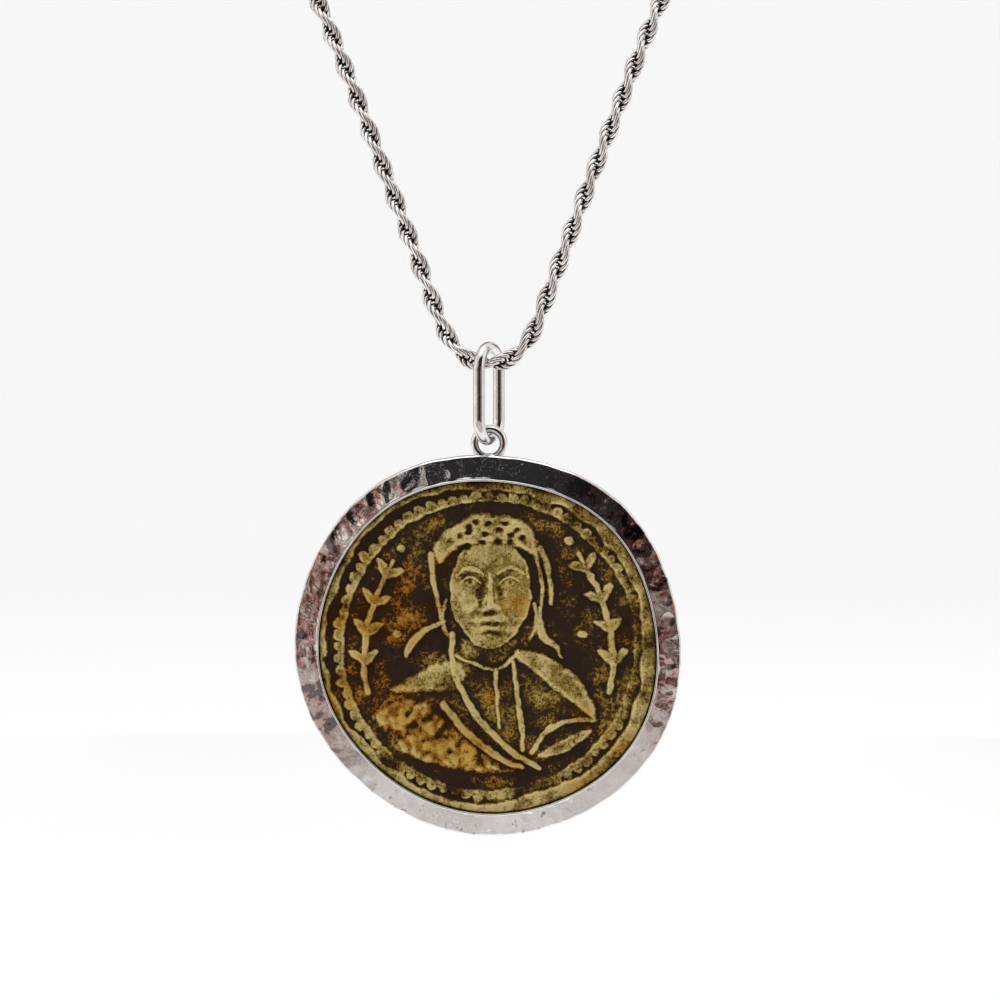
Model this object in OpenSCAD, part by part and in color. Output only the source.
// Coin pendant necklace: a struck coin in a hammered frame with a thin raised collar,
// a ring soldered to the frame's top edge, a long oval wire bail and a rope chain.
// Millimetres, +Z up, the coin's face looks along -Y, the origin is where the nape holds it.
// The chain is drawn as a smooth tube of the rope's full width.

/* [Coin] */
// Mean radius of the coin's edge
coin_r = 16.85; // [12:0.05:22]
// Thickness of the coin at its field
coin_t = 1.3; // [0.8:0.1:2.5]
// Mean width of the raised rim at the coin's edge
rim_w = 0.95; // [0.4:0.05:2]
// Height of the rim above the field
rim_h = 0.4; // [0.1:0.05:0.8]
// Radius of the circle of beads on the face
bead_circle_r = 15; // [10:0.1:20]
// Number of beads on the face
bead_count = 80; // [24:1:120]
// Radius of one bead
bead_r = 0.47; // [0.2:0.01:1]
// Height of a bead above the field
bead_h = 0.3; // [0.1:0.05:0.6]
// Height of the middle of the face above the field
face_h = 0.55; // [0.3:0.05:0.7]
// Height of the middle of the dress under its folds
dress_h = 0.3; // [0.1:0.05:0.5]
// Radius of the circle of beads on the back
back_circle_r = 13.6; // [8:0.1:18]
// Number of beads on the back
back_count = 60; // [20:1:90]
// Number of petals on the back
petal_count = 8; // [4:1:12]
// Height of the relief on the back
back_h = 0.25; // [0.1:0.05:0.5]

/* [Frame] */
// Mean radius of the frame's outer edge
frame_r = 19.42; // [15:0.05:26]
// Mean radius of the middle of the collar's wall
collar_r = 17.12; // [13:0.05:23]
// Thickness of the collar's wall
collar_t = 0.4; // [0.3:0.02:1]
// Height of the collar's top above the frame's back
collar_h = 2.9; // [2:0.1:5]
// Thickness of the flange beside the collar
flange_h = 1.8; // [1:0.05:3]
// Slope of the flange's front
flange_slope = 14; // [0:1:30]
// Thickness of the ledge under the coin
ledge_h = 0.6; // [0.3:0.05:1.5]
// Radius of the opening in the back
back_open_r = 14.8; // [8:0.1:18]
// Gap between the coin and its seat
seat_gap = 0.06; // [0.02:0.01:0.3]

/* [Ring and bail] */
// Radius of the hole of the soldered ring
ring_hole_r = 1.05; // [0.7:0.05:3]
// Wire diameter of the soldered ring
ring_wire = 0.8; // [0.5:0.05:1.5]
// Height of the ring's centre above the pendant's centre
ring_up = 20.3; // [18:0.05:26]
// Height of the ring's middle plane above the frame's back
ring_plane = 0.6; // [0.4:0.05:1.5]
// Wire diameter of the bail
bail_wire = 1.16; // [0.6:0.02:2]
// Radius of the bail's arches to the middle of the wire
bail_arch_r = 2.18; // [1.5:0.02:5]
// Length of the bail over all
bail_len = 10.5; // [7:0.1:20]
// Turn of the bail's plane from the chain
bail_turn = 63; // [45:1:90]

/* [Chain] */
// Diameter of the rope chain
rope_d = 1.9; // [1:0.1:3]
// Gap between the chain and the bail that hangs on it
hang_gap = 0.1; // [0.05:0.01:0.3]
// Gap between the bail's foot and the ring that hangs on it
ring_gap = 0.18; // [0.1:0.01:0.4]

/* [Clasp] */
// Length of the clasp
clasp_len = 14; // [8:0.5:20]
// Diameter of the clasp's barrel
clasp_d = 4.2; // [3:0.1:6]
// Diameter of the clasp's two necks
clasp_neck_d = 2.7; // [2:0.1:4]

/* [Hidden] */

bronze = [0.52, 0.40, 0.20];
silver = [0.78, 0.77, 0.75];

eps = 0.01;
edge_steps = 120;   // sides of the outlines that are out of round
fold_steps = 6;     // parts of a fold along its length
relief_root = 0.3;  // depth that the relief goes into the coin
tube_sides = 8;
outline_reach = 3;  // how far the cone of the flange runs past the frame's edge
cone_start = 1;     // how far it starts inside the collar, where the seat is cut

// Right half of the chain's middle line, from the clasp down to the lowest point.
route = [ // x, y, z, parts up to the next row
  [7.2, 2.1, 0, 2],
  [17.5, 0.5, -1, 2],
  [28, -5, -3.5, 2],
  [38, -13, -8, 3],
  [46.2, -24, -14, 3],
  [51.4, -37, -21.5, 3],
  [52.4, -51, -30, 3],
  [49.6, -64, -39.5, 3],
  [44, -75, -50, 3],
  [37.5, -84, -61, 2],
  [30.5, -91, -73, 2],
  [23.5, -97.5, -86, 2],
  [17.2, -103, -99, 2],
  [12, -107, -112, 2],
  [7.8, -109.8, -123, 1],
  [5.5, -111.2, -129.2, 1],
  [4.1, -111.7, -132.4, 1],
  [2.3, -112, -134.4, 2],
  [0, -112, -135, 1]
];
low = [route[len(route) - 1][0], route[len(route) - 1][1], route[len(route) - 1][2]];
tube_up = unit([0, 1, -1]); // never along the route, so the rings can't flip

// Out-of-round shape that the coin, the collar and the frame share.
lobes = [ // lobes round the edge, depth, turned by
  [2, 0.255, -34],
  [3, 0.08, 56],
  [4, 0.09, 46],
  [5, 0.13, -25]
];

// Outline of the dress, from the left shoulder round by the neck.
dress = [ // x, y
  [-11.9, -7.2], [-9.8, -4.6], [-4.4, -0.8], [0, -1.6], [3.2, -0.8], [7.5, -3],
  [10.6, -6.6], [10.3, -9], [5.4, -11.6], [1.6, -12.8], [-3.4, -12.9], [-7.5, -11.3]
];
dress_spot = [-0.5, -7]; // middle of the dress
dress_edge_r = 11.5;     // how far its outline is from there, at most
dress_edge_h = 0.12;     // height of the dress at that distance

// The head's oval, its middle and half sizes, and how much the dome falls at its edge.
head_spot = [0.15, 5.3];
head_half = [4.15, 5.7];
head_fall = 0.3;

// Outline of the hair over the forehead, and its height.
hair_cap = [ // x, y
  [-4.9, 8.3], [-5.75, 9.1], [-5.5, 10.5], [-4.3, 11.9], [-2.6, 13.0], [-0.6, 13.5], [1.4, 13.4],
  [3.2, 12.8], [4.6, 11.6], [5.2, 10.2], [5.15, 8.6], [4.5, 8.3], [4.1, 9.1], [2.9, 9.8],
  [0.15, 10.1], [-2.5, 9.8], [-3.7, 9.1]
];
hair_h = 0.5;

// Folds of the dress, locks of hair and lines of the face, each a tapered stroke.
folds = [ // x1, y1, middle x, middle y, x2, y2, width 1, middle width, width 2, height
  // hair
  [-5.75, 9.25, -5.5, 6.0, -4.65, 2.75, 0.7, 0.55, 0.4, 0.4],
  [-4.5, 2.6, -5.7, 2.0, -6.8, 1.35, 0.4, 0.55, 0.7, 0.42],
  [-6.8, 1.35, -7.7, 0.5, -8.3, -0.85, 0.7, 0.8, 0.4, 0.42],
  [-4.3, 4.6, -4.75, 2.6, -3.9, 0.9, 0.35, 0.6, 0.3, 0.32],
  [5.05, 9.85, 6.0, 7.3, 6.25, 4.35, 0.7, 0.6, 0.4, 0.4],
  [4.7, 8.6, 5.3, 6.5, 5.3, 4.2, 0.5, 0.45, 0.35, 0.35],
  [5.15, 3.85, 5.2, 1.6, 6.2, 0.4, 0.45, 0.85, 0.6, 0.4],
  [6.2, 0.4, 6.9, -0.2, 7.2, -1.0, 0.6, 0.5, 0.3, 0.4],
  [4.5, 4.2, 4.8, 2.4, 4.1, 0.8, 0.35, 0.55, 0.3, 0.32],
  // face
  [0.15, 7.5, 0.15, 5.9, 0.15, 3.9, 0.6, 0.8, 1.4, 0.72],
  [-0.55, 7.5, -1.85, 8.0, -3.1, 7.25, 0.45, 0.5, 0.25, 0.62],
  [0.85, 7.5, 2.15, 8.0, 3.4, 7.25, 0.45, 0.5, 0.25, 0.62],
  [-0.9, 6.5, -1.75, 6.65, -2.6, 6.5, 0.15, 0.7, 0.15, 0.6],
  [1.2, 6.5, 2.05, 6.65, 2.9, 6.5, 0.15, 0.7, 0.15, 0.6],
  [-0.95, 2.6, 0.15, 2.85, 1.25, 2.6, 0.15, 0.4, 0.15, 0.62],
  [-0.7, 2.05, 0.15, 1.9, 1.0, 2.05, 0.15, 0.4, 0.15, 0.6],
  // dress
  [-3.75, 1.2, -1.85, -6.3, 4.95, -12.25, 0.55, 0.72, 0.65, 0.55],
  [-3.15, -0.85, -1.4, -1.7, 0.35, -2.35, 0.4, 0.42, 0.42, 0.5],
  [0.35, -2.35, 1.6, -1.7, 2.75, -0.85, 0.42, 0.42, 0.4, 0.5],
  [0.65, -2.35, 0.8, -5.2, 1.05, -8.15, 0.5, 0.5, 0.35, 0.45],
  [2.45, -1.5, 3.0, -6.3, 3.45, -10.45, 0.45, 0.6, 0.45, 0.45],
  [-4.65, -5.75, -1.2, -9.6, 3.25, -12.25, 0.75, 0.8, 0.5, 0.5],
  [2.95, -0.85, 7.4, -3.4, 10.65, -7.45, 1.2, 2.7, 0.5, 0.5],
  [4.35, -10.75, 6.3, -8.2, 10.35, -7.45, 0.5, 0.65, 0.45, 0.45],
  [5.15, -10.95, 7.6, -10, 10.15, -8.55, 0.6, 1.5, 0.5, 0.42],
  [-9.85, -4.45, -6.8, -3.7, -3.9, -2.9, 0.4, 2.4, 3.6, 0.42],
  [-11.6, -7.2, -8.0, -6.9, -5.2, -8.0, 1.2, 2.6, 2.4, 0.42],
  [-10.4, -8.6, -4.6, -10.4, 0.9, -12.2, 1.2, 3.4, 1.0, 0.44]
];

// Stems of the two sprigs in the side fields, strokes like the folds.
stems = [ // x1, y1, middle x, middle y, x2, y2, width 1, middle width, width 2, height
  [-12.3, -4.6, -12.2, 2.0, -9.6, 8.6, 0.6, 0.65, 0.45, 0.36],
  [12.1, -4.6, 12.0, 2.2, 9.0, 9.4, 0.6, 0.65, 0.45, 0.36]
];
leaf_pairs = 4;
leaf_len = 1.9;
leaf_w = 0.95;
leaf_h = 0.34;
leaf_lean = 50; // degrees between a leaf and its stem

// Pellets in the field.
pellets = [ // x, y, radius, height
  [-8.7, 9.9, 0.45, 0.3],
  [8.1, 10.7, 0.45, 0.3],
  [-9.2, 1.2, 0.4, 0.3],
  [9.4, 1.2, 0.4, 0.3]
];

function unit(v) = v / norm(v);
function bez(a, b, c, t) = (1 - t) * (1 - t) * a + 2 * t * (1 - t) * b + t * t * c;
function bez_dir(a, b, c, t) = unit((1 - t) * (b - a) + t * (c - b));
function left_of(d) = [-d[1], d[0]];
// a stroke's start, control point and end
function stroke_a(s) = [s[0], s[1]];
function stroke_b(s) = 2 * [s[2], s[3]] - ([s[0], s[1]] + [s[4], s[5]]) / 2;
function stroke_c(s) = [s[4], s[5]];
function stroke_at(s, t) = bez(stroke_a(s), stroke_b(s), stroke_c(s), t);
function stroke_dir(s, t) = bez_dir(stroke_a(s), stroke_b(s), stroke_c(s), t);
function stroke_half(s, t) = bez(s[6], 2 * s[7] - (s[6] + s[8]) / 2, s[8], t) / 2;
function stroke_side(s, side) = [for (i = [0 : fold_steps]) let (t = i / fold_steps)
  stroke_at(s, t) + side * stroke_half(s, t) * left_of(stroke_dir(s, t))];
function backwards(p) = [for (i = [len(p) - 1 : -1 : 0]) p[i]];
function stroke_outline(s) = concat(stroke_side(s, -1), backwards(stroke_side(s, 1)));

// radius of a shared outline at angle a
function loop_r(r, a) = r + [for (l = lobes) l[1] * cos(l[0] * (a - l[2]))] * [for (l = lobes) 1];
function loop(r) = [for (i = [0 : edge_steps - 1]) let (a = i * 360 / edge_steps)
  loop_r(r, a) * [cos(a), sin(a)]];

// height of a sphere that is top high in its middle and falls by fall at distance reach
function dome_r(reach, fall) = (reach * reach + fall * fall) / (2 * fall);

// the frame's heights
seat_floor = ledge_h + seat_gap;
cone_end_r = frame_r + outline_reach;
cone_end_h = flange_h - (cone_end_r - collar_r) * tan(flange_slope);
cone_top_r = collar_r - cone_start;
cone_top_h = flange_h + cone_start * tan(flange_slope);

// the bail's heights above the chain's lowest middle point
arch_top = rope_d / 2 + hang_gap + bail_wire / 2;
arch_z = arch_top - bail_arch_r;
foot_z = arch_top - (bail_len - bail_wire) + bail_arch_r;
foot_bottom = foot_z - bail_arch_r;
// the soldered ring hangs on the bail's foot
ring_z = foot_bottom + bail_wire / 2 + ring_gap - ring_hole_r;
pendant_z = ring_z - ring_up;

// chain route: three numbers of row i, mirrored rows past both ends
route_last = len(route) - 1;
function row_at(i) = i < 0 ? [-route[0][0], route[0][1], route[0][2]]
  : i > route_last ? [-route[2 * route_last - i][0], route[2 * route_last - i][1], route[2 * route_last - i][2]]
  : [route[i][0], route[i][1], route[i][2]];
function smooth(p, q, r, s, t) = (2 * q + (r - p) * t + (2 * p - 5 * q + 4 * r - s) * t * t
  + (3 * q - p - 3 * r + s) * t * t * t) / 2;
half_line = concat([for (i = [0 : route_last - 1]) for (k = [0 : route[i][3] - 1])
  smooth(row_at(i - 1), row_at(i), row_at(i + 1), row_at(i + 2), k / route[i][3])], [low]);
half_last = len(half_line) - 1;
chain_line = concat(half_line, [for (i = [half_last - 1 : -1 : 0])
  [-half_line[i][0], half_line[i][1], half_line[i][2]]]);
chain_last = len(chain_line) - 1;
function tube_dir(i) = unit(chain_line[min(i + 1, chain_last)] - chain_line[max(i - 1, 0)]);
function tube_ring(i) = let (n = unit(cross(tube_dir(i), tube_up)), b = cross(tube_dir(i), n))
  [for (k = [0 : tube_sides - 1]) let (a = (k + 0.5) * 360 / tube_sides)
    chain_line[i] + rope_d / 2 * (cos(a) * n + sin(a) * b)];

// puts a pendant part, drawn face up with its middle at the origin, where it hangs
module hung() {
  translate(low + [0, 0, pendant_z]) rotate([90, 0, 0]) translate([0, 0, -ring_plane]) children();
}

// raises a flat shape from inside the coin to a height above the field
module raised(h) {
  translate([0, 0, coin_t - relief_root]) linear_extrude(relief_root + h) children();
}

module stroke(s) {
  raised(s[9]) polygon(stroke_outline(s));
}

module sprig(s) {
  stroke(s);
  for (k = [1 : leaf_pairs], side = [-1, 1]) {
    t = k / (leaf_pairs + 0.5);
    p = stroke_at(s, t);
    d = stroke_dir(s, t);
    tip = p + leaf_len * (cos(leaf_lean) * d + side * sin(leaf_lean) * left_of(d));
    mid = (p + tip) / 2 + 0.15 * d;
    stroke([p[0], p[1], mid[0], mid[1], tip[0], tip[1], leaf_w / 2, leaf_w, leaf_w / 6, leaf_h]);
  }
}

// low round mound with the outline of its child
module mound(spot, reach, edge_h, mid_h) {
  intersection() {
    raised(mid_h + eps) children();
    translate([spot[0], spot[1], coin_t + mid_h - dome_r(reach, mid_h - edge_h)])
      sphere(dome_r(reach, mid_h - edge_h), $fn = 180);
  }
}

module head_oval() {
  polygon([for (i = [0 : 3 * fold_steps - 1]) let (a = i * 360 / (3 * fold_steps))
    head_spot + [head_half[0] * cos(a), head_half[1] * sin(a)]]);
}

module coin_face() {
  mound(dress_spot, dress_edge_r, dress_edge_h, dress_h) polygon(dress);
  mound(head_spot, head_half[1], face_h - head_fall, face_h) head_oval();
  raised(hair_h) polygon(hair_cap);
  for (s = folds) stroke(s);
  for (s = stems) sprig(s);
  for (p = pellets) translate([p[0], p[1], 0]) raised(p[3]) circle(p[2], $fn = 8);
  for (i = [0 : bead_count - 1])
    rotate(i * 360 / bead_count) translate([bead_circle_r, 0, 0]) raised(bead_h) circle(bead_r, $fn = 8);
  raised(rim_h) difference() {
    polygon(loop(coin_r));
    circle(coin_r - rim_w, $fn = edge_steps);
  }
}

module coin_back() {
  translate([0, 0, -back_h]) linear_extrude(back_h + relief_root) {
    for (i = [0 : back_count - 1])
      rotate(i * 360 / back_count) translate([back_circle_r, 0]) circle(bead_r, $fn = 6);
    for (i = [0 : petal_count - 1]) rotate(i * 360 / petal_count) {
      polygon(stroke_outline([0, 2.2, 0, 4.4, 0, 7.4, 0.5, 2.2, 0.3]));
      rotate(180 / petal_count) translate([0, 8.6]) circle(bead_r, $fn = 8);
    }
    circle(1.6, $fn = 24);
  }
}

module coin() color(bronze) hung() translate([0, 0, seat_floor]) {
  linear_extrude(coin_t) polygon(loop(coin_r));
  coin_face();
  coin_back();
}

module frame() color(silver) hung() {
  difference() {
    union() {
      intersection() {
        linear_extrude(collar_h) polygon(loop(frame_r));
        rotate_extrude($fn = 180) polygon([[0, 0], [cone_end_r, 0],
          [cone_end_r, cone_end_h], [cone_top_r, cone_top_h], [0, cone_top_h]]);
      }
      linear_extrude(collar_h) polygon(loop(collar_r + collar_t / 2));
      translate([0, ring_up, ring_plane]) rotate_extrude($fn = 48)
        translate([ring_hole_r + ring_wire / 2, 0]) circle(d = ring_wire, $fn = 24);
    }
    translate([0, 0, ledge_h]) linear_extrude(collar_h) polygon(loop(collar_r - collar_t / 2));
    translate([0, 0, -1]) cylinder(r = back_open_r, h = collar_h, $fn = 120);
  }
}

module bail() color(silver) translate(low) rotate(bail_turn) rotate([90, 0, 0]) {
  translate([0, arch_z, 0]) rotate_extrude(angle = 180, $fn = 48)
    translate([bail_arch_r, 0]) circle(d = bail_wire, $fn = 24);
  translate([0, foot_z, 0]) rotate(180) rotate_extrude(angle = 180, $fn = 48)
    translate([bail_arch_r, 0]) circle(d = bail_wire, $fn = 24);
  for (side = [-1, 1]) translate([side * bail_arch_r, arch_z, 0]) rotate([90, 0, 0])
    cylinder(d = bail_wire, h = arch_z - foot_z, $fn = 24);
}

module rope_chain() color(silver) polyhedron(
  points = [for (i = [0 : chain_last]) each tube_ring(i)],
  faces = concat(
    [[for (k = [0 : tube_sides - 1]) k]],
    [for (i = [0 : chain_last - 1]) for (k = [0 : tube_sides - 1])
      let (j = (k + 1) % tube_sides, at = i * tube_sides)
        [at + k, at + tube_sides + k, at + tube_sides + j, at + j]],
    [[for (k = [tube_sides - 1 : -1 : 0]) chain_last * tube_sides + k]]
  )
);

// half of the clasp's outline: distance from its middle, radius
clasp_side = [
  [clasp_len / 2, 0], [clasp_len / 2, clasp_neck_d / 2 - 0.2], [clasp_len / 2 - 0.2, clasp_neck_d / 2],
  [clasp_len / 2 - 1.8, clasp_neck_d / 2], [clasp_len / 2 - 2.4, clasp_d / 2 - 0.2],
  [clasp_len / 2 - 3.2, clasp_d / 2]
];

module clasp() color(silver) translate([0, clasp_d / 2, 0]) rotate([0, 90, 0])
  rotate_extrude($fn = 48) polygon(concat(
    [for (p = clasp_side) [p[1], p[0]]],
    [for (p = backwards(clasp_side)) [p[1], -p[0]]]
  ));

coin();
frame();
bail();
rope_chain();
clasp();
